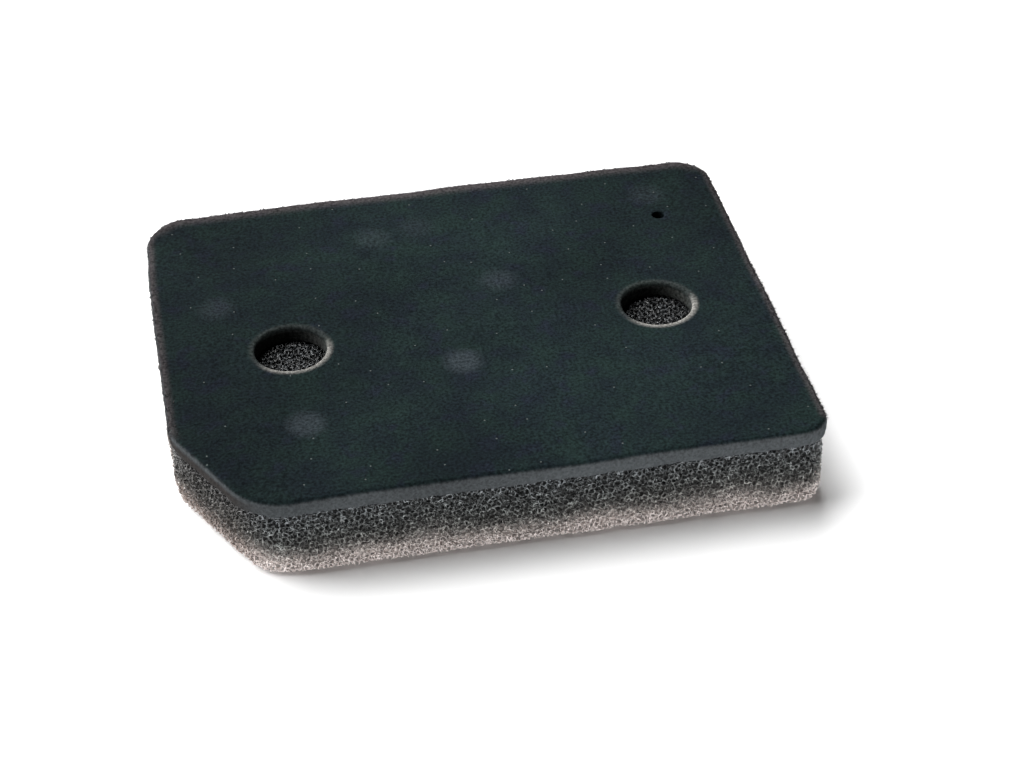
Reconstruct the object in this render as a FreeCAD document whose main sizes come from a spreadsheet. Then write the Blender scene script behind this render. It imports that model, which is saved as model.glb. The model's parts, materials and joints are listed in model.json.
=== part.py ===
import FreeCAD, Part
import os
from FreeCAD import Vector
import Sketcher

# A two-layer foam air filter pad, lying on its coarse layer with the fine layer up.
# Frame: origin at the middle of the pad's underside, +X along its long sides,
# +Y towards its rear long side, +Z up. The clipped corner is front left (-X, -Y).
# Every length is in millimetres.

SIZES = [
    # Outline of the pad
    ("pad_length", 207.0),
    ("pad_width", 165.0),
    ("clip_along_length", 22.0),
    ("clip_along_width", 41.0),
    ("front_right_radius", 10.0),
    ("rear_right_radius", 13.0),
    ("rear_left_radius", 16.0),
    ("clip_left_radius", 22.0),
    ("clip_front_radius", 20.0),
    # Thickness of each layer and how soft its outer edge is
    ("fine_thickness", 6.0),
    ("coarse_thickness", 23.0),
    ("coarse_setback", 0.6),
    ("fine_edge_radius", 1.2),
    ("coarse_edge_radius", 2.5),
    # Holes punched through the fine layer only
    ("locating_hole_diameter", 25.0),
    ("locating_hole_spacing", 125.6),
    ("locating_pair_to_right", 2.5),
    ("locating_pair_to_front", 4.4),
    ("small_hole_diameter", 4.5),
    ("small_hole_to_right_side", 24.5),
    ("small_hole_to_rear_side", 34.0),
    # Adhesive that joins the layers, sunk into the coarse layer's upper pores
    ("adhesive_diameter", 12.0),
    ("adhesive_thickness", 0.3),
]

# Middle of each adhesive spot, as shares of half the pad's length and of half its width.
# The spots are dabbed on by hand, so they follow no grid.
ADHESIVE_SPOTS = [
    (-0.797, 0.286),
    (-0.583, -0.552),
    (-0.232, 0.661),
    (-0.073, 0.711),
    (-0.050, -0.280),
    (0.145, 0.252),
    (0.753, 0.755),
]

TOLERANCE = 1e-4

document = FreeCAD.newDocument("air_filter")


def make_sheet():
    """Write the driving dimensions into a spreadsheet, a name beside each number."""
    sheet = document.addObject("Spreadsheet::Sheet", "sizes")
    for row, (name, value) in enumerate(SIZES, start=1):
        sheet.set(f"A{row}", name)
        sheet.set(f"B{row}", str(value))
        sheet.setAlias(f"B{row}", name)
    document.recompute()
    return sheet


sizes = make_sheet()


def make_body(name):
    body = document.addObject("PartDesign::Body", name)
    body.Label = name
    return body


def make_sketch(body, name, height=None):
    """Add a sketch on the body's own XY plane, or raised from it by an expression."""
    sketch = body.newObject("Sketcher::SketchObject", name)
    plane = next(f for f in body.Origin.OriginFeatures if f.Role == "XY_Plane")
    sketch.AttachmentSupport = [(plane, "")]
    sketch.MapMode = "FlatFace"
    if height:
        sketch.setExpression("AttachmentOffset.Base.z", height)
    return sketch


def drive(sketch, constraint, name, expression):
    """Add a dimension to the sketch and bind it to the sheet."""
    index = sketch.addConstraint(constraint)
    sketch.renameConstraint(index, name)
    sketch.setExpression(f"Constraints.{name}", expression)


def setback_clip(leg, setback):
    """The clip's leg once every side of the outline has moved in by the setback."""
    along, across = "sizes.clip_along_length", "sizes.clip_along_width"
    slant = f"sqrt(1 / {along}^2 + 1 / {across}^2)"
    return f"{leg} * (1 + {setback} * ({slant} - 1 / {along} - 1 / {across}))"


def draw_outline(body, setback):
    """Sketch the pad's outline with sharp corners, in from the full size by the setback."""
    sketch = make_sketch(body, body.Name + "_outline")
    half_length = sizes.pad_length / 2
    half_width = sizes.pad_width / 2
    corners = [
        Vector(-half_length + sizes.clip_along_length, -half_width, 0),
        Vector(half_length, -half_width, 0),
        Vector(half_length, half_width, 0),
        Vector(-half_length, half_width, 0),
        Vector(-half_length, -half_width + sizes.clip_along_width, 0),
    ]
    sides = [
        Part.LineSegment(start, end)
        for start, end in zip(corners, corners[1:] + corners[:1])
    ]
    front, right, rear, left, clip = sketch.addGeometry(sides, False)
    for side, following in zip(
        (front, right, rear, left, clip), (right, rear, left, clip, front)
    ):
        sketch.addConstraint(Sketcher.Constraint("Coincident", side, 2, following, 1))
    for side in (front, rear):
        sketch.addConstraint(Sketcher.Constraint("Horizontal", side))
    for side in (right, left):
        sketch.addConstraint(Sketcher.Constraint("Vertical", side))
    sketch.addConstraint(Sketcher.Constraint("Symmetric", right, 1, left, 1, -1, 1))
    drive(
        sketch,
        Sketcher.Constraint("DistanceX", rear, 2, rear, 1, sizes.pad_length),
        "length",
        f"sizes.pad_length - 2 * {setback}",
    )
    drive(
        sketch,
        Sketcher.Constraint("DistanceY", right, 1, right, 2, sizes.pad_width),
        "width",
        f"sizes.pad_width - 2 * {setback}",
    )
    drive(
        sketch,
        Sketcher.Constraint("DistanceX", clip, 1, clip, 2, sizes.clip_along_length),
        "clip_length",
        setback_clip("sizes.clip_along_length", setback),
    )
    drive(
        sketch,
        Sketcher.Constraint("DistanceY", clip, 2, clip, 1, sizes.clip_along_width),
        "clip_width",
        setback_clip("sizes.clip_along_width", setback),
    )
    document.recompute()
    return sketch


def draw_circles(sketch, circles):
    """Draw circles given as (name, diameter, x, y), each an expression, about the origin."""
    for name, diameter, across, along in circles:
        place = [sketch.evalExpression(text) for text in (across, along)]
        middle = Vector(*(float(number) for number in place), 0)
        size = float(sketch.evalExpression(diameter))
        circle = sketch.addGeometry(Part.Circle(middle, Vector(0, 0, 1), size / 2), False)
        drive(sketch, Sketcher.Constraint("Diameter", circle, size), name + "_size", diameter)
        for kind, number, text in (("X", middle.x, across), ("Y", middle.y, along)):
            ends = (-1, 1, circle, 3) if number > 0 else (circle, 3, -1, 1)
            sign = "" if number > 0 else "-1 * "
            drive(
                sketch,
                Sketcher.Constraint("Distance" + kind, *ends, abs(number)),
                f"{name}_{kind}",
                f"{sign}({text})",
            )
    document.recompute()


def pad(body, sketch, length):
    feature = body.newObject("PartDesign::Pad", sketch.Name + "_pad")
    feature.Profile = sketch
    feature.setExpression("Length", length)
    document.recompute()
    return feature


def pocket(body, sketch, depth, upward=False):
    """Cut the sketch into the body, down from it or up from it, and see that it cuts."""
    before = body.Shape.Volume
    feature = body.newObject("PartDesign::Pocket", sketch.Name + "_pocket")
    feature.Profile = sketch
    feature.Reversed = upward
    feature.setExpression("Length", depth)
    document.recompute()
    if body.Shape.Volume > before - TOLERANCE:
        raise RuntimeError(f"{feature.Name} cuts nothing")
    return feature


def round_edges(body, name, wanted, radius):
    """Fillet the edges of the body's last feature that wanted picks."""
    base = body.Tip
    edges = [f"Edge{n}" for n, edge in enumerate(base.Shape.Edges, start=1) if wanted(edge)]
    if not edges:
        raise RuntimeError(f"{name} finds no edge")
    feature = body.newObject("PartDesign::Fillet", name)
    feature.Base = (base, edges)
    feature.setExpression("Radius", radius)
    document.recompute()
    return feature


def upright_at(corner):
    """Pick the upright edge that stands on this corner."""

    def wanted(edge):
        box = edge.BoundBox
        upright = box.XLength < TOLERANCE and box.YLength < TOLERANCE
        away = (box.XMin - corner.x) ** 2 + (box.YMin - corner.y) ** 2
        return upright and away < TOLERANCE

    return wanted


def level_at(height):
    """Pick the edges that lie at this height."""

    def wanted(edge):
        box = edge.BoundBox
        return abs(box.ZMin - height) < TOLERANCE and abs(box.ZMax - height) < TOLERANCE

    return wanted


def round_corners(body, outline, setback):
    """Round the five upright corners, so that the layers' corners share their middles."""
    front, right, rear, left, clip = outline.Geometry
    for name, corner in (
        ("front_right", right.StartPoint),
        ("rear_right", rear.StartPoint),
        ("rear_left", left.StartPoint),
        ("clip_left", clip.StartPoint),
        ("clip_front", front.StartPoint),
    ):
        radius = f"sizes.{name}_radius - {setback}"
        round_edges(body, f"{body.Name}_{name}", upright_at(corner), radius)


def make_layer(name, setback, thickness):
    """Make one layer with rounded corners and square upper and lower edges."""
    body = make_body(name)
    outline = draw_outline(body, setback)
    pad(body, outline, thickness)
    round_corners(body, outline, setback)
    return body


def make_fine_layer():
    """The upper layer: full size, soft upper edge, punched with three holes."""
    body = make_layer("fine_foam_layer", "0", "sizes.fine_thickness")
    upper_edges = level_at(sizes.fine_thickness)
    round_edges(body, "fine_upper_edge", upper_edges, "sizes.fine_edge_radius")
    holes = make_sketch(body, "fine_holes")
    half_spacing = "sizes.locating_hole_spacing / 2"
    to_front = "-1 * sizes.locating_pair_to_front"
    draw_circles(
        holes,
        [
            (
                "left_hole",
                "sizes.locating_hole_diameter",
                f"sizes.locating_pair_to_right - {half_spacing}",
                to_front,
            ),
            (
                "right_hole",
                "sizes.locating_hole_diameter",
                f"sizes.locating_pair_to_right + {half_spacing}",
                to_front,
            ),
            (
                "small_hole",
                "sizes.small_hole_diameter",
                "sizes.pad_length / 2 - sizes.small_hole_to_right_side",
                "sizes.pad_width / 2 - sizes.small_hole_to_rear_side",
            ),
        ],
    )
    pocket(body, holes, "sizes.fine_thickness", upward=True)
    body.setExpression("Placement.Base.z", "sizes.coarse_thickness")
    return body


def adhesive_circles():
    return [
        (
            f"spot_{number}",
            "sizes.adhesive_diameter",
            f"{along_length} * sizes.pad_length / 2",
            f"{along_width} * sizes.pad_width / 2",
        )
        for number, (along_length, along_width) in enumerate(ADHESIVE_SPOTS, start=1)
    ]


def make_coarse_layer():
    """The lower layer: set back under the fine one, with the adhesive's shallow seats."""
    body = make_layer("coarse_foam_layer", "sizes.coarse_setback", "sizes.coarse_thickness")
    round_edges(body, "coarse_lower_edge", level_at(0), "sizes.coarse_edge_radius")
    seats = make_sketch(body, "adhesive_seats", "sizes.coarse_thickness")
    draw_circles(seats, adhesive_circles())
    pocket(body, seats, "sizes.adhesive_thickness")
    return body


def make_adhesive():
    """The spots of adhesive, flush with the coarse layer's upper face."""
    body = make_body("adhesive_spots")
    body.AllowCompound = True
    spots = make_sketch(
        body, "adhesive_outline", "sizes.coarse_thickness - sizes.adhesive_thickness"
    )
    draw_circles(spots, adhesive_circles())
    pad(body, spots, "sizes.adhesive_thickness")
    return body


bodies = [make_coarse_layer(), make_adhesive(), make_fine_layer()]
document.recompute()

for item in document.Objects:
    if "Invalid" in item.State or "Error" in item.State:
        raise RuntimeError(f"{item.Name} did not build: {item.State}")
for body in bodies:
    if body.Shape.isNull() or not body.Shape.isValid():
        raise RuntimeError(f"{body.Label} has no valid shape")

os.makedirs("parts", exist_ok=True)
for body in bodies:
    body.Shape.exportStep(f"parts/{body.Label}.step")
    box = body.Shape.BoundBox
    print(
        body.Label,
        len(body.Shape.Solids),
        "solids",
        round(body.Shape.Volume / 1000, 2),
        "cm3, from",
        [round(number, 2) for number in (box.XMin, box.YMin, box.ZMin)],
        "to",
        [round(number, 2) for number in (box.XMax, box.YMax, box.ZMax)],
    )
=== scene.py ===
import json
import math

import bpy
import numpy as np
from mathutils import Euler, Matrix, Vector
from mathutils.geometry import delaunay_2d_cdt


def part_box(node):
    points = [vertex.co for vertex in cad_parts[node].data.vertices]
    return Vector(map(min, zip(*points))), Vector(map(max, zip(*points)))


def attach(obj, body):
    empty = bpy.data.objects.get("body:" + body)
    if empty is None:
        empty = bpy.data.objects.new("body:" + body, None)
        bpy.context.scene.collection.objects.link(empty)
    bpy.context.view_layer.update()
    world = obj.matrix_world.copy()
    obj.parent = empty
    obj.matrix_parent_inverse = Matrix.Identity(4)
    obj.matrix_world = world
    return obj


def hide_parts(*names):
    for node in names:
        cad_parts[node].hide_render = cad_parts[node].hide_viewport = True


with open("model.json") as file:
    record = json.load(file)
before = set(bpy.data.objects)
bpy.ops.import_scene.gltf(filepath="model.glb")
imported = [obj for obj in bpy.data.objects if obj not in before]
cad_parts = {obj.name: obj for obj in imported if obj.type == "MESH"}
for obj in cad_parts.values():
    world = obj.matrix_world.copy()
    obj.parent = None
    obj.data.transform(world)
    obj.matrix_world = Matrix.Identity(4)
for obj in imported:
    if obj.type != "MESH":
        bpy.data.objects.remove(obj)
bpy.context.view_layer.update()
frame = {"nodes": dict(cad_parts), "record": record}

MM = 0.001

# ---------------------------------------------------------------- sizes, in millimetres

fine_high = np.array(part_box("fine_foam_layer")[1]) / MM
coarse_high = np.array(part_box("coarse_foam_layer")[1]) / MM
HALF_LENGTH, HALF_WIDTH, TOP = fine_high
BOND = coarse_high[2]
COARSE_SETBACK = fine_high[0] - coarse_high[0]

CLIP_ALONG_LENGTH = 22
CLIP_ALONG_WIDTH = 41
CORNER_RADII = {
    "clip_front": 20,
    "front_right": 9.5,
    "rear_right": 13,
    "rear_left": 15.5,
    "clip_left": 22,
}

# Open cells of the coarse foam
CELL = 2.05
CELL_TURN = (0.20, 0.13, 0.47)
CELL_UNEVENNESS = 0.16
STRUT_RADIUS = 0.19
SIDE_DEPTH = 2.6
UNDERSIDE_DEPTH = 1.0
FLOOR_DEPTH = 2.8
FLOOR_SWELL = 1.8

BORES = [
    (m["pos_m"][0] / MM, m["pos_m"][1] / MM, m["dims"]["r_mm"])
    for m in frame["record"]["mounts"]
    if m["kind"] == "bore"
]
LOCATING_HOLES = [bore for bore in BORES if bore[2] > 5]


# ---------------------------------------------------------------- the pad's outline


def outline_arcs():
    """For each corner: its arc's middle and radius, and the normals of the two sides there."""
    x, y = HALF_LENGTH, HALF_WIDTH
    corners = {
        "clip_front": (-x + CLIP_ALONG_LENGTH, -y),
        "front_right": (x, -y),
        "rear_right": (x, y),
        "rear_left": (-x, y),
        "clip_left": (-x, -y + CLIP_ALONG_WIDTH),
    }
    names = list(corners)
    places = [np.array(corners[name], float) for name in names]
    arcs = []
    for i, name in enumerate(names):
        arriving = places[i] - places[i - 1]
        leaving = places[(i + 1) % len(places)] - places[i]
        first = np.array([arriving[1], -arriving[0]]) / np.linalg.norm(arriving)
        second = np.array([leaving[1], -leaving[0]]) / np.linalg.norm(leaving)
        inward = (first + second) / (1 + first @ second)
        radius = CORNER_RADII[name]
        arcs.append((places[i] - radius * inward, radius, first, second))
    return arcs


ARCS = outline_arcs()


def outline_distance(points):
    """How far each point lies outside the outline, negative inside it."""
    flat = points[:, :2]
    gap = np.full(len(flat), -np.inf)
    for middle, radius, first, _ in ARCS:
        gap = np.maximum(gap, (flat - middle) @ first - radius)
    for middle, radius, first, second in ARCS:
        away = flat - middle
        past_first = away @ np.array([-first[1], first[0]]) > 0
        past_second = away @ np.array([second[1], -second[0]]) > 0
        in_corner = past_first & past_second
        gap[in_corner] = np.linalg.norm(away[in_corner], axis=1) - radius
    return gap


def outline_ring(step):
    """Points evenly along the outline, and the outward normal at each."""
    points = []
    normals = []
    for i, (middle, radius, first, second) in enumerate(ARCS):
        start = math.atan2(first[1], first[0])
        turn = math.acos(float(np.clip(first @ second, -1, 1)))
        count = max(2, round(radius * turn / step))
        for k in range(count):
            angle = start + turn * k / count
            normal = np.array([math.cos(angle), math.sin(angle)])
            points.append(middle + radius * normal)
            normals.append(normal)
        next_middle, next_radius, next_first, _ = ARCS[(i + 1) % len(ARCS)]
        leave = middle + radius * second
        arrive = next_middle + next_radius * next_first
        count = max(2, round(np.linalg.norm(arrive - leave) / step))
        for k in range(count):
            points.append(leave + (arrive - leave) * k / count)
            normals.append(second)
    return np.array(points), np.array(normals)


def bore_ring(bore, step):
    """Points round a bore, and the direction into the foam at each."""
    x, y, radius = bore
    count = max(16, round(2 * math.pi * radius / step))
    angle = -2 * math.pi * np.arange(count) / count
    normals = np.stack([np.cos(angle), np.sin(angle)], 1)
    return np.array([x, y]) + radius * normals, -normals


# ---------------------------------------------------------------- mesh helpers


def waves(points, length, seed):
    """Smooth unevenness, about -1 to 1, in swells about this long."""
    rng = np.random.default_rng(seed)
    total = np.zeros(len(points))
    for _ in range(12):
        direction = rng.normal(size=3)
        direction /= np.linalg.norm(direction)
        turns = direction * 2 * math.pi / (length * rng.uniform(0.6, 1.6))
        total += np.sin(points @ turns + rng.uniform(0, 2 * math.pi))
    return total / 4.5


def smooth_step(low, high, values):
    """From 0 at low to 1 at high, with soft ends."""
    share = np.clip((values - low) / (high - low), 0, 1)
    return share * share * (3 - 2 * share)


def new_piece(name, points, faces):
    """A mesh piece from points in millimetres and faces of three or four point numbers each."""
    mesh = bpy.data.meshes.new(name)
    mesh.vertices.add(len(points))
    mesh.vertices.foreach_set("co", (np.asarray(points) * MM).astype(np.float32).ravel())
    corners = np.concatenate([np.asarray(group).ravel() for group in faces])
    sizes = np.concatenate([np.full(len(group), group.shape[1]) for group in faces])
    mesh.loops.add(len(corners))
    mesh.loops.foreach_set("vertex_index", corners.astype(np.int32))
    mesh.polygons.add(len(sizes))
    starts = np.concatenate([[0], np.cumsum(sizes)[:-1]])
    mesh.polygons.foreach_set("loop_start", starts.astype(np.int32))
    mesh.update(calc_edges=True)
    mesh.shade_smooth()
    piece = bpy.data.objects.new(name, mesh)
    bpy.context.scene.collection.objects.link(piece)
    return piece


def add_attribute(piece, name, values):
    """Gives each point of a piece a number that a material can read."""
    layer = piece.data.attributes.new(name, "FLOAT", "POINT")
    layer.data.foreach_set("value", np.asarray(values, np.float32))


def fill_flat(rings, spacing, seed, clear_of):
    """Triangles between rings of flat points, with loose points between. Returns both."""
    rng = np.random.default_rng(seed)
    rim = np.concatenate(rings)
    low, high = rim.min(0), rim.max(0)
    across = np.arange(low[0], high[0], spacing)
    along = np.arange(low[1], high[1], spacing * 0.866)
    x, y = np.meshgrid(across, along)
    x[1::2] += spacing / 2
    loose = np.stack([x.ravel(), y.ravel()], 1)
    loose += rng.uniform(-0.2, 0.2, loose.shape) * spacing
    loose = loose[clear_of(loose) > 0.6 * spacing]
    points = np.concatenate([rim, loose])
    edges = []
    start = 0
    for ring in rings:
        edges += [(start + i, start + (i + 1) % len(ring)) for i in range(len(ring))]
        start += len(ring)
    found = delaunay_2d_cdt([Vector(point) for point in points], edges, [], 0, 1e-7)
    triangles = np.array(found[2])
    triangles = triangles[clear_of(points[triangles].mean(1)) > 0]
    return loose, triangles


class Slab:
    """A slab with the pad's outline, built ring by ring and then closed."""

    def __init__(self, spacing, seed):
        self.points = []
        self.faces = []
        self.count = 0
        self.spacing = spacing
        self.seed = seed

    def add_points(self, flat, height):
        self.points.append(np.column_stack([flat, np.full(len(flat), float(height))]))
        numbers = np.arange(self.count, self.count + len(flat))
        self.count += len(flat)
        return numbers

    def add_wall(self, ring, normals, profile):
        """Rings one below another, each (inset, height), joined by quads."""
        rings = []
        for inset, height in profile:
            flat = ring - inset * normals
            rings.append((self.add_points(flat, height), flat))
        for (upper, _), (lower, _) in zip(rings, rings[1:]):
            quads = [lower, np.roll(lower, -1), np.roll(upper, -1), upper]
            self.faces.append(np.stack(quads, 1))
        return rings

    def close(self, rings, height, clear_of, facing_up):
        loose, triangles = fill_flat([flat for _, flat in rings], self.spacing, self.seed, clear_of)
        numbers = np.concatenate([numbers for numbers, _ in rings] + [self.add_points(loose, height)])
        order = [0, 1, 2] if facing_up else [0, 2, 1]
        self.faces.append(numbers[triangles][:, order])

    def make(self, name, shaped):
        """The piece, with its points moved by the function shaped."""
        return new_piece(name, shaped(np.concatenate(self.points)), self.faces)


def clear_between(outline_inset, circles):
    """How far points lie inside the outline and outside the circles, whichever is less."""

    def clear_of(flat):
        gap = -outline_distance(flat) - outline_inset
        for x, y, radius in circles:
            gap = np.minimum(gap, np.hypot(flat[:, 0] - x, flat[:, 1] - y) - radius)
        return gap

    return clear_of


def round_edge(radius, inset, height, steps):
    """The quarter round from a level face, over its edge, to the side below it."""
    angles = np.linspace(0, math.pi / 2, steps + 1)
    return [
        (inset + radius * (1 - math.sin(a)), height - radius * (1 - math.cos(a)))
        for a in angles
    ]


# ---------------------------------------------------------------- fine foam layer

FINE_EDGE = 1.3
FINE_BULGE = 0.45


def fine_side_profile():
    """Down the fine layer's cut side."""
    level = [(inset, TOP) for inset in (9, 7.5, 6.2, 5.1, 4.2, 3.4, 2.8, 2.3, 1.8)]
    side = []
    for height in np.linspace(TOP - FINE_EDGE - 0.5, BOND + 0.45, 9):
        share = (height - BOND) / (TOP - BOND)
        side.append((-FINE_BULGE * math.sin(math.pi * share) ** 0.7, height))
    edge = round_edge(FINE_EDGE, 0, TOP, 5)
    edge = [(inset - FINE_BULGE * 0.5 * k / 5, height) for k, (inset, height) in enumerate(edge)]
    below = [(0.12, BOND + 0.12), (0.5, BOND), (1.5, BOND), (3, BOND)]
    return level + edge + side + below


def bore_profile():
    """Down the wall of a large hole."""
    level = [(inset, TOP) for inset in (3.8, 3.0, 2.3, 1.7, 1.2, 0.8)]
    side = [(-0.4, height) for height in np.linspace(TOP - 1.3, BOND + 0.5, 9)]
    return level + round_edge(0.9, -0.4, TOP, 5) + side + [(-0.1, BOND), (1.2, BOND)]


def small_bore_profile():
    """Down the wall of the small hole."""
    level = [(inset, TOP) for inset in (1.6, 1.1, 0.7)]
    side = [(0, height) for height in np.linspace(TOP - 0.9, BOND + 0.5, 7)]
    return level + round_edge(0.4, 0, TOP, 3) + side + [(0.1, BOND), (0.8, BOND)]


def shaped_fine_foam(points):
    """Swells, droops and roughens the fine layer, as soft foam is."""
    shaped = points.copy()
    distance = outline_distance(points)
    flat_normal = outline_normal(points)
    near_edge = smooth_step(-12, 0, distance)
    swell = 0.22 * waves(points * [1, 1, 0.3], 34, 11) * near_edge
    shaped[:, :2] += flat_normal * swell[:, None]
    high = smooth_step(BOND, TOP, points[:, 2])
    shaped[:, 2] += 0.28 * waves(points * [1, 1, 0], 46, 12) * high
    to_rear_left = np.hypot(points[:, 0] + HALF_LENGTH, points[:, 1] - HALF_WIDTH)
    shaped[:, 2] -= 0.25 * smooth_step(34, 6, to_rear_left) * high
    pinched = smooth_step(40, 16, to_rear_left) * smooth_step(0.2, 0.8, -flat_normal[:, 0])
    shaped[:, 0] += 0.9 * pinched * near_edge
    rng = np.random.default_rng(13)
    rough = rng.normal(size=len(points)) * smooth_step(-5, -0.5, distance) * 0.07
    shaped[:, :2] += flat_normal * rough[:, None]
    shaped[:, 2] += rng.normal(size=len(points)) * 0.05 * high
    low = smooth_step(BOND + 1.6, BOND, points[:, 2]) * smooth_step(-4, -1, distance)
    shaped[:, 2] += 0.32 * waves(points, 5, 14) * low
    return shaped


def add_fuzz(foam):
    """Short loose fibre ends standing out of the cut edges, as closed three-sided points."""
    mesh = foam.data
    points = np.empty(3 * len(mesh.vertices))
    mesh.vertices.foreach_get("co", points)
    points = points.reshape(-1, 3) / MM
    normals = np.empty(3 * len(mesh.vertices))
    mesh.vertex_normals.foreach_get("vector", normals)
    normals = normals.reshape(-1, 3)
    distance = outline_distance(points)
    frontwards = -outline_normal(points)[:, 1]
    likely = smooth_step(-2.6, -0.4, distance) * smooth_step(BOND + 1.5, TOP - 0.8, points[:, 2])
    likely *= smooth_step(0.4, 0.1, frontwards)
    rng = np.random.default_rng(61)
    chosen = rng.uniform(size=len(points)) < 0.6 * likely
    base = points[chosen] + rng.normal(size=(chosen.sum(), 3)) * 0.12
    lean = normals[chosen] + rng.normal(size=base.shape) * 0.7
    lean /= np.linalg.norm(lean, axis=1)[:, None]
    base -= 0.15 * normals[chosen]
    length = 0.35 + rng.gamma(2.0, 0.2, len(base))
    across = np.cross(lean, rng.normal(size=base.shape))
    across /= np.linalg.norm(across, axis=1)[:, None]
    other = np.cross(lean, across)
    thick = rng.uniform(0.14, 0.28, len(base))[:, None]
    corners = [base + thick * (math.cos(a) * across + math.sin(a) * other) for a in (0, 2.1, 4.2)]
    tip = base + np.minimum(length, 1.2)[:, None] * lean
    everything = np.stack([*corners, tip], 1).reshape(-1, 3)
    start = 4 * np.arange(len(base))[:, None]
    faces = np.concatenate([start + side for side in ([0, 1, 3], [1, 2, 3], [2, 0, 3], [0, 2, 1])])
    fuzz = new_piece("fuzz", everything, [faces])
    add_attribute(fuzz, "fuzz", np.repeat(rng.uniform(0.2, 1, len(base)), 4))
    bpy.ops.object.select_all(action="DESELECT")
    fuzz.select_set(True)
    foam.select_set(True)
    bpy.context.view_layer.objects.active = foam
    bpy.ops.object.join()


def outline_normal(points):
    """The outward direction of the outline nearest each point."""
    reach = 0.05
    across = outline_distance(points + [reach, 0, 0]) - outline_distance(points - [reach, 0, 0])
    along = outline_distance(points + [0, reach, 0]) - outline_distance(points - [0, reach, 0])
    normal = np.stack([across, along], 1)
    return normal / np.maximum(np.linalg.norm(normal, axis=1), 1e-9)[:, None]


def make_fine_foam():
    """The fine layer: its upper face, cut sides and holes, with loose fibre ends."""
    slab = Slab(spacing=1.7, seed=21)
    ring, normals = outline_ring(0.5)
    outer = slab.add_wall(ring, normals, fine_side_profile())
    first_rings = [outer[0]]
    last_rings = [outer[-1]]
    circles_above = []
    circles_below = []
    for bore in BORES:
        large = bore in LOCATING_HOLES
        ring, normals = bore_ring(bore, 0.5 if large else 0.3)
        profile = bore_profile() if large else small_bore_profile()
        walls = slab.add_wall(ring, normals, profile)
        first_rings.append(walls[0])
        last_rings.append(walls[-1])
        circles_above.append((bore[0], bore[1], bore[2] + profile[0][0]))
        circles_below.append((bore[0], bore[1], bore[2] + profile[-1][0]))
    top_inset = fine_side_profile()[0][0]
    low_inset = fine_side_profile()[-1][0]
    slab.close(first_rings, TOP, clear_between(top_inset, circles_above), True)
    slab.spacing = 3
    slab.close(last_rings, BOND, clear_between(low_inset, circles_below), False)
    rest = np.concatenate(slab.points)
    piece = slab.make("fine_foam", shaped_fine_foam)
    distance = outline_distance(rest)
    # Painted light: the rear edges, and less so the left and right ones, are painted paler where the back
    # light catches them
    rearwards = smooth_step(0.3, 0.9, outline_normal(rest)[:, 1])
    sideways = smooth_step(-0.5, -0.1, outline_normal(rest)[:, 1]) * (1 - rearwards)
    rim = smooth_step(-6.5, -0.5, distance) * rearwards
    add_attribute(piece, "rim_light", rim + 0.8 * smooth_step(-3.2, -0.3, distance) * sideways)
    cut = smooth_step(TOP - 0.25, TOP - 1.3, rest[:, 2]) * (distance > -3)
    add_attribute(piece, "cut_side", cut)
    # Painted shade: the left cut side is made darker below its edge
    add_attribute(piece, "left_shade", smooth_step(0.35, 0.95, -outline_normal(rest)[:, 0]))
    # A pale lip round each large hole, weak all round, with painted light on its near side where the back
    # light catches it; the wall just below the rim is a little paler too
    lip = np.zeros(len(rest))
    for x, y, radius in LOCATING_HOLES:
        off = np.hypot(rest[:, 0] - x, rest[:, 1] - y) - radius
        near_side = smooth_step(0.0, 0.8, (y - rest[:, 1] + 0.4 * (rest[:, 0] - x)) / radius)
        lip_zone = smooth_step(2.2, 0.5, off) * smooth_step(TOP - 2.2, TOP - 0.6, rest[:, 2])
        wall = 0.25 * (off < 0.1) * smooth_step(TOP - 0.9, TOP - 1.8, rest[:, 2])
        lip = np.maximum(lip, lip_zone * (0.1 + 0.9 * near_side))
        lip = np.maximum(lip, wall)
    add_attribute(piece, "hole_lip_and_light", lip * (distance < -3))
    add_attribute(piece, "fuzz", np.zeros(len(rest)))
    add_fuzz(piece)
    return piece


# ---------------------------------------------------------------- coarse foam: its surface


def side_inset(points):
    """How far the coarse foam's side stands in from the fine layer's, at each point."""
    height = points[:, 2]
    frontwards = smooth_step(0.5, 0.95, -outline_normal(points)[:, 1])
    under_bond = 0.25 * smooth_step(3, 0, BOND - height)
    flare = (0.85 + 1.7 * frontwards) * smooth_step(BOND - 1, 4, height)
    return COARSE_SETBACK + under_bond - flare


def bottom_rounding(points):
    """The underside's edge is rounder in front, and more so on the left."""
    normal = outline_normal(points)
    leftwards = smooth_step(0.3, 0.9, -normal[:, 0])
    frontwards = smooth_step(0.5, 0.95, -normal[:, 1])
    at_front_right = smooth_step(0.3, 0.8, normal[:, 0]) * smooth_step(-20, -60, points[:, 1])
    return 2.4 + 2.6 * leftwards + 0.8 * frontwards + 2.2 * at_front_right


def outside_coarse(points):
    """How far points lie outside the coarse layer's sides and underside."""
    side = outline_distance(points) + side_inset(points)
    side += 0.3 * waves(points, 16, 31) + 0.28 * waves(points, 4.2, 33)
    below = -points[:, 2] + 0.15 * waves(points, 9, 32)
    radius = bottom_rounding(points)
    both = np.hypot(np.maximum(side + radius, 0), np.maximum(below + radius, 0))
    return np.where(both > 0, both - radius, np.maximum(side, below))


def outside_foam(points):
    """The same, with the bond to the fine layer on top, and the foam swelling into the holes."""
    top = np.full(len(points), float(BOND))
    for x, y, radius in LOCATING_HOLES:
        off = np.hypot(points[:, 0] - x, points[:, 1] - y) - radius
        top += FLOOR_SWELL * smooth_step(-0.4, -4, off)
    return np.maximum(outside_coarse(points), points[:, 2] - top)


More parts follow.
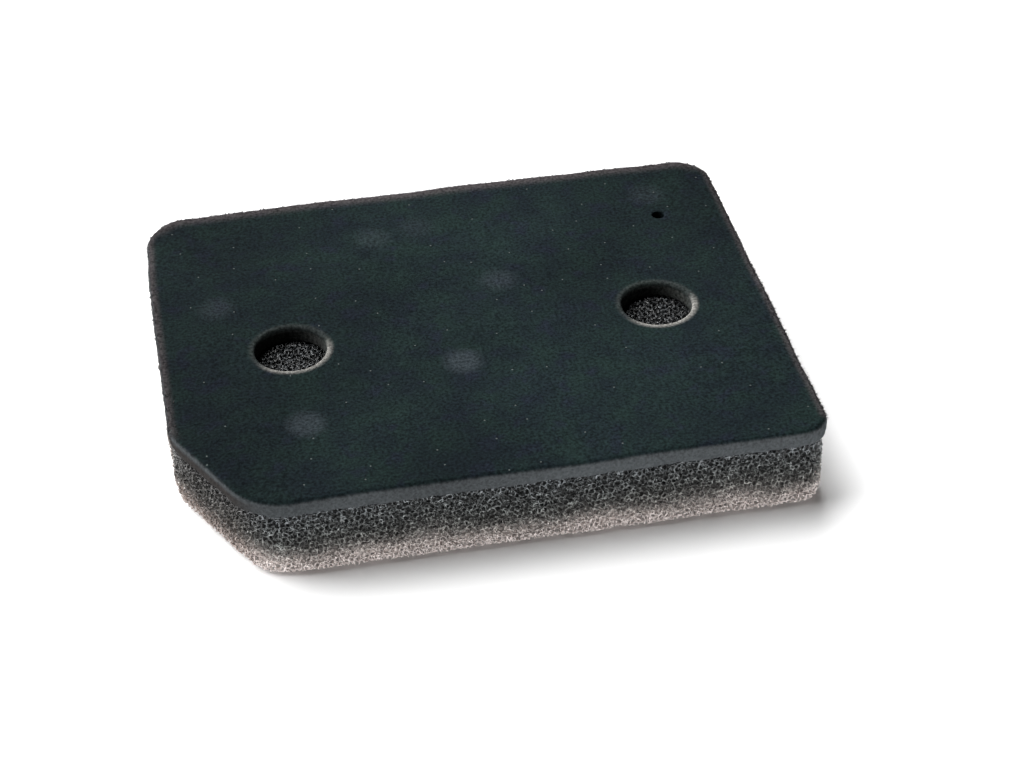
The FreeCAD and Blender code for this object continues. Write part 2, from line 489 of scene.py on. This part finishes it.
def beyond_shell(points):
    """How far points lie deeper than the foam that is modelled cell by cell."""
    side = outline_distance(points) + side_inset(points)
    deep = np.minimum(-side - SIDE_DEPTH, points[:, 2] - UNDERSIDE_DEPTH)
    for x, y, radius in LOCATING_HOLES:
        aside = np.hypot(points[:, 0] - x, points[:, 1] - y) - radius - 1.2
        floor = np.maximum(aside, BOND - FLOOR_DEPTH - points[:, 2])
        deep = np.minimum(deep, floor)
    return deep


# ---------------------------------------------------------------- coarse foam: its cells


def cells_near_shell(turn):
    """Whole-number places of the foam's cubes of cells, near enough to the shell."""
    corners = [
        (x, y, z)
        for x in (-HALF_LENGTH, HALF_LENGTH)
        for y in (-HALF_WIDTH, HALF_WIDTH)
        for z in (0, BOND)
    ]
    spans = np.array(corners) @ turn / CELL
    ranges = [
        np.arange(math.floor(low) - 1, math.ceil(high) + 2)
        for low, high in zip(spans.min(0), spans.max(0))
    ]
    cubes = np.stack(np.meshgrid(*ranges, indexing="ij"), -1).reshape(-1, 3)
    middles = CELL * (cubes + 0.5) @ turn.T
    near = 1.6 * CELL
    cubes = cubes[(middles[:, 2] > -near) & (middles[:, 2] < BOND + near)]
    middles = CELL * (cubes + 0.5) @ turn.T
    return cubes[(outside_foam(middles) < near) & (beyond_shell(middles) < near)]


def meeting_points(cubes):
    """Where four struts meet, in quarter cells: one odd place, one even, one halfway."""
    offsets = [
        (x, y, z)
        for x in range(4)
        for y in range(4)
        for z in range(4)
        if sorted([x % 2 == 1, y % 2 == 1, z % 2 == 1]) == [False, False, True]
        and 0 in (x, y, z)
        and 2 in (x, y, z)
    ]
    return (4 * cubes[:, None] + np.array(offsets)).reshape(-1, 3)


def around(places):
    """The four meeting points next to each, and the middles of the four cells round it."""
    axes = np.eye(3, dtype=int)
    odd = axes[(places % 2 == 1).argmax(1)]
    even = axes[(places % 4 == 0).argmax(1)]
    halfway = axes[(places % 4 == 2).argmax(1)]
    odd_value = (places * odd).sum(1) % 4
    down = np.where(odd_value == 1, -1, 1)[:, None] * odd
    neighbours = [places + down + even, places + down - even]
    neighbours += [places - down + halfway, places - down - halfway]
    middles = [places + down + 2 * halfway, places + down - 2 * halfway]
    middles += [places - down + 2 * even, places - down - 2 * even]
    return np.stack(neighbours, 1), np.stack(middles, 1)


def keys(places):
    """One number for each whole-number place."""
    shifted = places.astype(np.int64) + 4096
    return (shifted[..., 0] * 8192 + shifted[..., 1]) * 8192 + shifted[..., 2]


def uneven_places(places, middles, turn):
    """Meeting points of uneven cells: equally far from the four shifted cell middles."""
    quarter = CELL / 4
    level = quarter * places @ turn.T
    found, which = np.unique(keys(middles), return_inverse=True)
    rng = np.random.default_rng(41)
    shifts = rng.normal(size=(len(found), 3)) * CELL_UNEVENNESS * CELL
    seeds = quarter * middles @ turn.T + shifts[which.reshape(middles.shape[:2])]
    seeds -= level[:, None]
    system = 2 * (seeds[:, 1:] - seeds[:, :1])
    lengths = (seeds**2).sum(2)
    move = np.linalg.solve(system, (lengths[:, 1:] - lengths[:, :1])[..., None])[..., 0]
    size = np.linalg.norm(move, axis=1)
    limit = 0.22 * CELL
    move *= np.minimum(1, limit / np.maximum(size, 1e-9))[:, None]
    return level + move


OTHERS = np.array([[1, 2, 3], [0, 2, 3], [0, 1, 3], [0, 1, 2]])


def ring_about(axis, middles, corners, start):
    """Orders three corners round an axis. Returns the order and the angles."""
    arms = corners - middles[:, None]
    first = start - (start * axis).sum(1)[:, None] * axis
    first /= np.maximum(np.linalg.norm(first, axis=1), 1e-9)[:, None]
    second = np.cross(axis, first)
    angles = np.arctan2((arms * second[:, None]).sum(2), (arms * first[:, None]).sum(2))
    order = angles.argsort(1)
    return order, np.take_along_axis(angles, order, 1)


def tube_quads(near, far):
    """The three sides of a strut between two rings of three point numbers."""
    sides = []
    for i in range(3):
        j = (i + 1) % 3
        sides.append(np.stack([near[:, i], near[:, j], far[:, j], far[:, i]], 1))
    return np.concatenate(sides)


def make_coarse_cells():
    """The coarse foam's struts, as a shell deep enough to look through its cells."""
    turn = np.array(Euler(CELL_TURN).to_matrix())
    places = meeting_points(cells_near_shell(turn))
    neighbours, middles = around(places)
    points = uneven_places(places, middles, turn)
    outside = outside_foam(points)
    kept = (outside < 0) & (beyond_shell(points) < 0)

    all_keys = keys(places)
    order = all_keys.argsort()
    wanted = keys(neighbours[kept])
    spot = np.searchsorted(all_keys[order], wanted)
    spot = np.minimum(spot, len(order) - 1)
    linked = order[spot]
    known = all_keys[linked] == wanted
    whole = known.all(1)
    kept_numbers = np.flatnonzero(kept)[whole]
    linked = linked[whole]

    hub_of = np.full(len(places), -1)
    hub_of[kept_numbers] = np.arange(len(kept_numbers))
    hub = points[kept_numbers]
    reach = points[linked] - hub[:, None]
    length = np.linalg.norm(reach, axis=2)
    towards = reach / np.maximum(length, 1e-6)[..., None]
    rng = np.random.default_rng(42)
    radius = STRUT_RADIUS * rng.uniform(0.65, 1.4, len(hub))
    corners = hub[:, None] - radius[:, None, None] * towards

    start, slot = np.divmod(np.arange(4 * len(hub)), 4)
    far = linked[start, slot]
    far_hub = hub_of[far]
    axis = towards[start, slot]
    near_ring = 4 * start[:, None] + OTHERS[slot]
    flat_corners = corners.reshape(-1, 3)
    near_order, near_angles = ring_about(
        axis, hub[start], flat_corners[near_ring], corners[start, OTHERS[slot][:, 0]] - hub[start]
    )
    near_ring = np.take_along_axis(near_ring, near_order, 1)

    whole_strut = (far_hub >= 0) & (start < far_hub)
    a, b = start[whole_strut], far_hub[whole_strut]
    far_slot = (linked[b] == kept_numbers[a][:, None]).argmax(1)
    far_ring = 4 * b[:, None] + OTHERS[far_slot]
    first_arm = corners[a, OTHERS[slot[whole_strut]][:, 0]] - hub[a]
    far_order, far_angles = ring_about(axis[whole_strut], hub[b], flat_corners[far_ring], first_arm)
    far_ring = np.take_along_axis(far_ring, far_order, 1)
    match = [
        np.cos(near_angles[whole_strut] - np.roll(far_angles, shift, 1)).sum(1)
        for shift in range(3)
    ]
    best = np.argmax(match, 0)
    far_ring = far_ring[np.arange(len(a))[:, None], (np.arange(3) - best[:, None]) % 3]
    quads = [tube_quads(near_ring[whole_strut], far_ring)]

    leaves = (far_hub < 0) & (outside[far] > 0)
    share = -outside[kept_numbers[start]] / np.maximum(outside[far] - outside[kept_numbers[start]], 1e-9)
    stub_length = share * length[start, slot]
    stub = leaves & (stub_length > 0.12)
    ring = flat_corners[near_ring[stub]]
    from_hub = ring - hub[start[stub]][:, None]
    stub_axis = axis[stub][:, None]
    along = (from_hub * stub_axis).sum(2)[..., None]
    tip = ring + (stub_length[stub][:, None, None] - along) * stub_axis
    slant = rng.uniform(-0.12, 0.12, tip.shape[:2])[..., None]
    tip += slant * stub_axis
    tip_ring = len(flat_corners) + np.arange(3 * len(tip)).reshape(-1, 3)
    quads.append(tube_quads(near_ring[stub], tip_ring))
    caps = [tip_ring, near_ring[(far_hub < 0) & ~stub]]
    everything = np.concatenate([flat_corners, tip.reshape(-1, 3)])
    piece = new_piece("coarse_foam_cells", everything, quads + caps)
    distance = outline_distance(everything)
    normal = outline_normal(everything)
    # Painted shade: the cells down in the holes and at the rear are made darker
    in_hole = smooth_step(-7, -10, distance) * smooth_step(BOND - 5, BOND - 3, everything[:, 2])
    at_rear = smooth_step(0.1, 0.8, normal[:, 1]) * smooth_step(-9, -6, distance)
    add_attribute(piece, "painted_shade", np.maximum(in_hole, at_rear))
    # Painted shade: the coarse foam's left side is made darker
    leftwards = smooth_step(0.35, 0.9, -normal[:, 0])
    add_attribute(piece, "left_shade", leftwards * (1 - at_rear) * smooth_step(-9, -6, distance))
    return piece


def core_profile():
    """Down the side of the foam that lies behind the modelled cells."""
    inset = SIDE_DEPTH - 0.3
    side = [(inset, height) for height in np.linspace(BOND - 0.05, UNDERSIDE_DEPTH + 2.4, 22)]
    under = [(inset + 0.7, UNDERSIDE_DEPTH + 1.1), (inset + 2, UNDERSIDE_DEPTH - 0.05)]
    return [(inset + 2, BOND - 0.05)] + side + under + [(inset + 4, UNDERSIDE_DEPTH - 0.1)]


def shaped_core(points):
    """Follows the foam's side, with hollows and lumps the size of cells."""
    shaped = points.copy()
    normal = outline_normal(points)
    near_side = smooth_step(-9, -5, outline_distance(points))
    low = smooth_step(6, 0, points[:, 2])
    move = -side_inset(points) - (bottom_rounding(points) - 2.2) * 0.6 * low
    move += 0.35 * waves(points, 2.4, 51)
    shaped[:, :2] += normal * (move * near_side)[:, None]
    return shaped


def make_coarse_core():
    """The dark foam deeper in, behind the modelled cells."""
    slab = Slab(spacing=3, seed=52)
    ring, normals = outline_ring(0.9)
    profile = core_profile()
    outer = slab.add_wall(ring, normals, profile)
    first_rings = [outer[0]]
    circles = []
    for bore in BORES:
        large = bore in LOCATING_HOLES
        margin = 1.0 if large else 0.4
        floor = BOND - FLOOR_DEPTH + 0.3
        ring, normals = bore_ring(bore, 1.0 if large else 0.6)
        pocket = [(margin, BOND - 0.05), (margin, BOND - 1.2), (margin, floor)]
        walls = slab.add_wall(ring, normals, pocket)
        first_rings.append(walls[0])
        circles.append((bore[0], bore[1], bore[2] + margin))
        reach = bore[2] + margin

        def inside_pocket(flat, bore=bore, reach=reach):
            return reach - np.hypot(flat[:, 0] - bore[0], flat[:, 1] - bore[1])

        slab.spacing = 1
        slab.close([walls[-1]], floor, inside_pocket, True)
    slab.spacing = 3
    slab.close(first_rings, BOND - 0.05, clear_between(profile[0][0], circles), True)
    slab.close([outer[-1]], profile[-1][1], clear_between(profile[-1][0], []), False)
    rest = np.concatenate(slab.points)
    piece = slab.make("coarse_foam_core", shaped_core)
    # Painted shade: the core is made darker at the rear
    at_rear = smooth_step(0.1, 0.8, outline_normal(rest)[:, 1])
    add_attribute(piece, "painted_shade", at_rear * smooth_step(-9, -6, outline_distance(rest)))
    return piece


# ---------------------------------------------------------------- materials


def new_material(name):
    material = bpy.data.materials.new(name)
    material.use_nodes = True
    nodes = material.node_tree.nodes
    nodes.clear()
    output = nodes.new("ShaderNodeOutputMaterial")
    shader = nodes.new("ShaderNodeBsdfPrincipled")
    material.node_tree.links.new(shader.outputs["BSDF"], output.inputs["Surface"])
    return material, material.node_tree, shader


def noise(tree, source, scale, detail=2.0, roughness=0.5):
    node = tree.nodes.new("ShaderNodeTexNoise")
    node.inputs["Scale"].default_value = scale
    node.inputs["Detail"].default_value = detail
    node.inputs["Roughness"].default_value = roughness
    tree.links.new(source, node.inputs["Vector"])
    return node.outputs["Fac"]


def ramp(tree, source, stops):
    node = tree.nodes.new("ShaderNodeValToRGB")
    elements = node.color_ramp.elements
    while len(elements) < len(stops):
        elements.new(0.5)
    for element, (place, color) in zip(elements, stops):
        element.position = place
        element.color = (*color, 1)
    tree.links.new(source, node.inputs["Fac"])
    return node.outputs["Color"]


def mix(tree, share, first, second, blend="MIX"):
    node = tree.nodes.new("ShaderNodeMix")
    node.data_type = "RGBA"
    node.blend_type = blend
    for socket, value in ((0, share), (6, first), (7, second)):
        if isinstance(value, bpy.types.NodeSocket):
            tree.links.new(value, node.inputs[socket])
        elif socket:
            node.inputs[socket].default_value = (*value, 1)
        else:
            node.inputs[socket].default_value = value
    return node.outputs[2]


def map_range(tree, source, low, high, new_low=0.0, new_high=1.0):
    node = tree.nodes.new("ShaderNodeMapRange")
    for name, value in (("From Min", low), ("From Max", high), ("To Min", new_low), ("To Max", new_high)):
        node.inputs[name].default_value = value
    tree.links.new(source, node.inputs["Value"])
    return node.outputs["Result"]


def maths(tree, operation, first, second):
    node = tree.nodes.new("ShaderNodeMath")
    node.operation = operation
    for i, value in enumerate((first, second)):
        if isinstance(value, bpy.types.NodeSocket):
            tree.links.new(value, node.inputs[i])
        else:
            node.inputs[i].default_value = value
    return node.outputs["Value"]


def bump(tree, shader, height, strength, distance):
    node = tree.nodes.new("ShaderNodeBump")
    node.inputs["Strength"].default_value = strength
    node.inputs["Distance"].default_value = distance
    tree.links.new(height, node.inputs["Height"])
    tree.links.new(node.outputs["Normal"], shader.inputs["Normal"])


def object_place(tree):
    return tree.nodes.new("ShaderNodeTexCoord").outputs["Object"]


def height_of(tree, place):
    node = tree.nodes.new("ShaderNodeSeparateXYZ")
    tree.links.new(place, node.inputs["Vector"])
    return node.outputs["Z"]


# From the underside, as a share of the height, up to the bond. Pale low down, partly painted light from the
# floor below
DULL_TONES = [
    (0.0, (0.76, 0.68, 0.65)),
    (0.17, (0.70, 0.625, 0.595)),
    (0.29, (0.32, 0.29, 0.275)),
    (0.40, (0.11, 0.105, 0.10)),
    (0.55, (0.05, 0.051, 0.049)),
    (1.0, (0.042, 0.045, 0.047)),
]
# Painted glints: the tones of strands painted bright as if catching light
GLINT_TONES = [
    (0.0, (0.97, 0.89, 0.865)),
    (0.17, (0.97, 0.885, 0.86)),
    (0.29, (0.82, 0.75, 0.715)),
    (0.40, (0.52, 0.505, 0.475)),
    (0.55, (0.36, 0.375, 0.36)),
    (1.0, (0.33, 0.36, 0.385)),
]
# The core's tones: painted shade of the foam's depth, pale low down as the strands are
DEPTH_TONES = [
    (0.0, (0.70, 0.62, 0.595)),
    (0.2, (0.42, 0.375, 0.355)),
    (0.40, (0.06, 0.056, 0.054)),
    (0.6, (0.016, 0.017, 0.017)),
    (1.0, (0.013, 0.014, 0.015)),
]


# Painted shade, set for this light: the share of the front's tone kept at the rear and in the holes, and
# the darker tint painted on the left side
PAINTED_SHADE_SHARE = 0.25
LEFT_SIDE_SHADE = (0.42, 0.38, 0.36)


def scaled(tree, color, share):
    """A colour made brighter or darker by a share."""
    node = tree.nodes.new("ShaderNodeVectorMath")
    node.operation = "SCALE"
    tree.links.new(color, node.inputs[0])
    tree.links.new(share, node.inputs["Scale"])
    return node.outputs["Vector"]


def attribute(tree, name):
    node = tree.nodes.new("ShaderNodeAttribute")
    node.attribute_name = name
    return node.outputs["Fac"]


def share_of_height(tree, place):
    """From 0 at the underside to 1 at the bond, in uneven drifts."""
    height = map_range(tree, height_of(tree, place), 0, BOND * MM)
    drift = map_range(tree, noise(tree, place, 45, 2), 0.3, 0.7, -0.06, 0.06)
    return maths(tree, "ADD", height, drift)


def coarse_strand_material():
    """Satin strands, pale low down (partly painted light from the floor below) and dark higher up, with
    painted glints.
    """
    material, tree, shader = new_material("coarse foam strands")
    place = object_place(tree)
    height = share_of_height(tree, place)
    # Painted glints: some strands are painted much brighter than others
    painted_glints = map_range(tree, noise(tree, place, 560, 2, 0.6), 0.40, 0.66)
    painted_glints = maths(tree, "POWER", painted_glints, 1.4)
    color = mix(tree, painted_glints, ramp(tree, height, DULL_TONES), ramp(tree, height, GLINT_TONES))
    # Painted shade at the rear and in the holes
    share = map_range(tree, attribute(tree, "painted_shade"), 0, 1, 1, PAINTED_SHADE_SHARE)
    # Painted shade on the left side
    color = mix(tree, attribute(tree, "left_shade"), color, LEFT_SIDE_SHADE, "MULTIPLY")
    tree.links.new(scaled(tree, color, share), shader.inputs["Base Color"])
    shader.inputs["Roughness"].default_value = 0.3
    shader.inputs["Specular IOR Level"].default_value = 0.5
    return material


def coarse_core_material():
    """The shaded foam that shows between the strands."""
    material, tree, shader = new_material("coarse foam depth")
    place = object_place(tree)
    tone = ramp(tree, share_of_height(tree, place), DEPTH_TONES)
    # Painted shade: darker still in the hollows of the bump
    hollows = noise(tree, place, 700, 2)
    color = scaled(tree, tone, map_range(tree, hollows, 0.35, 0.65, 0.5, 1.5))
    # Painted shade at the rear
    share = map_range(tree, attribute(tree, "painted_shade"), 0, 1, 1, PAINTED_SHADE_SHARE)
    tree.links.new(scaled(tree, color, share), shader.inputs["Base Color"])
    shader.inputs["Roughness"].default_value = 0.9
    bump(tree, shader, hollows, 0.6, 0.0006)
    return material


def spot_middles():
    """The middles of the adhesive spots, from their solids."""
    points = np.array([v.co[:2] for v in frame["nodes"]["adhesive_spots"].data.vertices])
    close = np.linalg.norm(points[:, None] - points, axis=2) < 3 * MM
    spot = np.arange(len(points))
    for _ in range(60):
        spot = np.where(close, spot, len(points)).min(1)
    groups = [points[spot == first] for first in np.unique(spot)]
    return [(group.min(0) + group.max(0)) / 2 for group in groups]


# How strongly each adhesive spot shows, and the reach of a disc's edge and middle, in metres
DISC_STRENGTHS = [0.4, 0.8, 0.3, 0.2, 0.82, 0.42, 0.32]
DISC_EDGE = 0.0080
DISC_MIDDLE = 0.0034


def faint_discs(tree, place):
    """Where the adhesive shows through the fine foam as faint paler discs."""
    total = None
    wobble = map_range(tree, noise(tree, place, 350, 2), 0.3, 0.7, -0.0006, 0.0006)
    for i, (x, y) in enumerate(spot_middles()):
        node = tree.nodes.new("ShaderNodeVectorMath")
        node.operation = "DISTANCE"
        tree.links.new(place, node.inputs[0])
        node.inputs[1].default_value = (x, y, TOP * MM)
        off = maths(tree, "ADD", node.outputs["Value"], wobble)
        disc = map_range(tree, off, DISC_EDGE, DISC_MIDDLE, 0, DISC_STRENGTHS[i % len(DISC_STRENGTHS)])
        total = disc if total is None else maths(tree, "MAXIMUM", total, disc)
    return total


def specks(tree, place):
    """Sparse pale specks of dust."""
    cells = tree.nodes.new("ShaderNodeTexVoronoi")
    cells.voronoi_dimensions = "2D"
    cells.inputs["Scale"].default_value = 70
    tree.links.new(place, cells.inputs["Vector"])
    near = map_range(tree, cells.outputs["Distance"], 0.024, 0.012)
    some = tree.nodes.new("ShaderNodeSeparateColor")
    tree.links.new(cells.outputs["Color"], some.inputs["Color"])
    chosen = maths(tree, "GREATER_THAN", some.outputs["Red"], 0.45)
    upper = maths(tree, "SUBTRACT", 1.0, attribute(tree, "cut_side"))
    return maths(tree, "MULTIPLY", maths(tree, "MULTIPLY", near, chosen), upper)


# The fine foam's tones
UPPER_TONES = [(0.36, (0.0062, 0.0098, 0.0120)), (0.64, (0.0076, 0.0142, 0.0134))]
BLUISH_TONE = (0.0080, 0.0102, 0.0162)
DISC_TONE = (0.0235, 0.0300, 0.0345)
RIM_LIGHT_TONE = (0.050, 0.044, 0.0455)
HOLE_LIP_AND_LIGHT_TONE = (0.155, 0.151, 0.142)
CUT_SIDE_TONE = (0.060, 0.066, 0.070)
LEFT_CUT_SIDE_SHADE = (0.034, 0.031, 0.030)
SPECK_TONE = (0.075, 0.085, 0.082)
FUZZ_TONE = (0.055, 0.048, 0.050)


def fine_foam_material():
    """Matte, nearly black foam with a fine grain, paler cut sides, painted rim light on the rear and side
    edges, pale hole lips with painted light on their near side, and painted shade on the left cut side.
    """
    material, tree, shader = new_material("fine foam")
    place = object_place(tree)
    mottle = noise(tree, place, 75, 4, 0.6)
    color = ramp(tree, mottle, UPPER_TONES)
    tint = map_range(tree, noise(tree, place, 130, 2), 0.56, 0.70, 0.0, 0.7)
    color = mix(tree, tint, color, BLUISH_TONE)
    color = mix(tree, faint_discs(tree, place), color, DISC_TONE)
    # Painted rim light
    color = mix(tree, attribute(tree, "rim_light"), color, RIM_LIGHT_TONE)
    # Pale hole lips, with painted light on their near side
    color = mix(tree, attribute(tree, "hole_lip_and_light"), color, HOLE_LIP_AND_LIGHT_TONE)
    # Painted shade on the left cut side
    below_edge = map_range(tree, height_of(tree, place), (TOP - 1.5) * MM, (TOP - 2.8) * MM)
    left_share = maths(tree, "MULTIPLY", attribute(tree, "left_shade"), below_edge)
    side_color = mix(tree, left_share, CUT_SIDE_TONE, LEFT_CUT_SIDE_SHADE)
    color = mix(tree, attribute(tree, "cut_side"), color, side_color)
    pores = noise(tree, place, 1000, 3, 0.65)
    cut = attribute(tree, "cut_side")
    least = map_range(tree, cut, 0, 1, 0.5, 0.75)
    most = map_range(tree, cut, 0, 1, 1.5, 1.25)
    grain = tree.nodes.new("ShaderNodeMapRange")
    grain.inputs["From Min"].default_value = 0.36
    grain.inputs["From Max"].default_value = 0.64
    tree.links.new(pores, grain.inputs["Value"])
    tree.links.new(least, grain.inputs["To Min"])
    tree.links.new(most, grain.inputs["To Max"])
    drift = map_range(tree, noise(tree, place, 14, 1), 0.35, 0.65, 0.82, 1.14)
    middle = tree.nodes.new("ShaderNodeVectorMath")
    middle.operation = "LENGTH"
    tree.links.new(place, middle.inputs[0])
    drift = maths(tree, "MULTIPLY", drift, map_range(tree, middle.outputs["Value"], 0.04, 0.11, 1.05, 0.84))
    color = scaled(tree, color, maths(tree, "MULTIPLY", grain.outputs["Result"], drift))
    color = mix(tree, specks(tree, place), color, SPECK_TONE)
    color = mix(tree, attribute(tree, "fuzz"), color, FUZZ_TONE)
    tree.links.new(color, shader.inputs["Base Color"])
    shader.inputs["Roughness"].default_value = 0.95
    shader.inputs["Specular IOR Level"].default_value = 0.02
    bump(tree, shader, pores, 0.5, 0.00025)
    return material


def adhesive_material():
    material, tree, shader = new_material("adhesive spots")
    place = object_place(tree)
    color = ramp(tree, noise(tree, place, 400, 3), [(0.35, (0.12, 0.12, 0.125)), (0.7, (0.2, 0.2, 0.21))])
    tree.links.new(color, shader.inputs["Base Color"])
    shader.inputs["Roughness"].default_value = 0.55
    return material


# ---------------------------------------------------------------- studio


def make_floor():
    """A plain pale floor under the pad."""
    bpy.ops.object.select_all(action="DESELECT")
    bpy.ops.mesh.primitive_plane_add(size=6, location=(0, 0, 0))
    floor = bpy.context.object
    floor.name = "floor"
    material, _, shader = new_material("pale floor")
    shader.inputs["Base Color"].default_value = (0.92, 0.92, 0.92, 1)
    shader.inputs["Roughness"].default_value = 0.8
    shader.inputs["Specular IOR Level"].default_value = 0.1
    floor.data.materials.append(material)
    return floor


# The soft light's middle, how bright it is there and elsewhere, and where one fades to the other
LIGHT_FROM = (-0.536, 0.683, 0.496)
BACK_GLOW = 7.6
FRONT_GLOW = 0.01
FADE_START = 0.62
FADE_END = 0.74
BACKDROP = 1.05


def make_world():
    """A wide soft light from behind and above, a little to the left, and dim from the front."""
    world = bpy.data.worlds.new("studio")
    bpy.context.scene.world = world
    world.use_nodes = True
    tree = world.node_tree
    background = tree.nodes["Background"]
    background.inputs["Color"].default_value = (1, 1, 1, 1)
    towards = tree.nodes.new("ShaderNodeVectorMath")
    towards.operation = "DOT_PRODUCT"
    towards.inputs[1].default_value = LIGHT_FROM
    tree.links.new(tree.nodes.new("ShaderNodeTexCoord").outputs["Generated"], towards.inputs[0])
    glow = map_range(tree, towards.outputs["Value"], FADE_START, FADE_END, FRONT_GLOW, BACK_GLOW)
    rays = tree.nodes.new("ShaderNodeLightPath").outputs["Is Camera Ray"]
    plain = maths(tree, "MULTIPLY", rays, BACKDROP)
    lit = maths(tree, "MULTIPLY", glow, maths(tree, "SUBTRACT", 1.0, rays))
    tree.links.new(maths(tree, "ADD", plain, lit), background.inputs["Strength"])


def area_light(name, place, width, height, power):
    """A rectangular light aimed at the origin."""
    light = bpy.data.lights.new(name, "AREA")
    light.shape = "RECTANGLE"
    light.size = width
    light.size_y = height
    light.energy = power
    lamp = bpy.data.objects.new(name, light)
    bpy.context.scene.collection.objects.link(lamp)
    lamp.location = place
    lamp.rotation_euler = (-Vector(place)).to_track_quat("-Z", "Y").to_euler()
    lamp.visible_camera = False
    return lamp


def make_camera():
    """The camera's place, from the point that it looks at."""
    target = np.array([0.00903, -0.03422, 0.02554])
    distance = 0.77492
    azimuth = math.radians(-10.644)
    elevation = math.radians(37.597)
    roll = math.radians(-0.869)
    back = np.array([
        math.sin(azimuth) * math.cos(elevation),
        -math.cos(azimuth) * math.cos(elevation),
        math.sin(elevation),
    ])
    right = np.cross(-back, [0, 0, 1])
    right /= np.linalg.norm(right)
    up = np.cross(right, -back)
    tilted_right = math.cos(roll) * right + math.sin(roll) * up
    tilted_up = -math.sin(roll) * right + math.cos(roll) * up
    data = bpy.data.cameras.new("camera")
    data.lens = 82.855
    data.sensor_width = 36
    camera = bpy.data.objects.new("camera", data)
    bpy.context.scene.collection.objects.link(camera)
    columns = np.eye(4)
    columns[:3, 0] = tilted_right
    columns[:3, 1] = tilted_up
    columns[:3, 2] = back
    columns[:3, 3] = target + distance * back
    camera.matrix_world = Matrix(columns.tolist())
    bpy.context.scene.camera = camera


# ---------------------------------------------------------------- making

fine = make_fine_foam()
fine.data.materials.append(fine_foam_material())
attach(fine, "root")
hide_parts("fine_foam_layer")

cells = make_coarse_cells()
cells.data.materials.append(coarse_strand_material())
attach(cells, "root")
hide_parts("coarse_foam_layer")

core = make_coarse_core()
core.data.materials.append(coarse_core_material())
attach(core, "root")
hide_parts("coarse_foam_layer")

spots = frame["nodes"]["adhesive_spots"]
spots.data.materials.clear()
spots.data.materials.append(adhesive_material())

make_camera()
make_floor()
make_world()
area_light("front", (0.15, -1.5, 0.09), 1.2, 0.16, 14)

scene = bpy.context.scene
scene.view_settings.view_transform = "Standard"
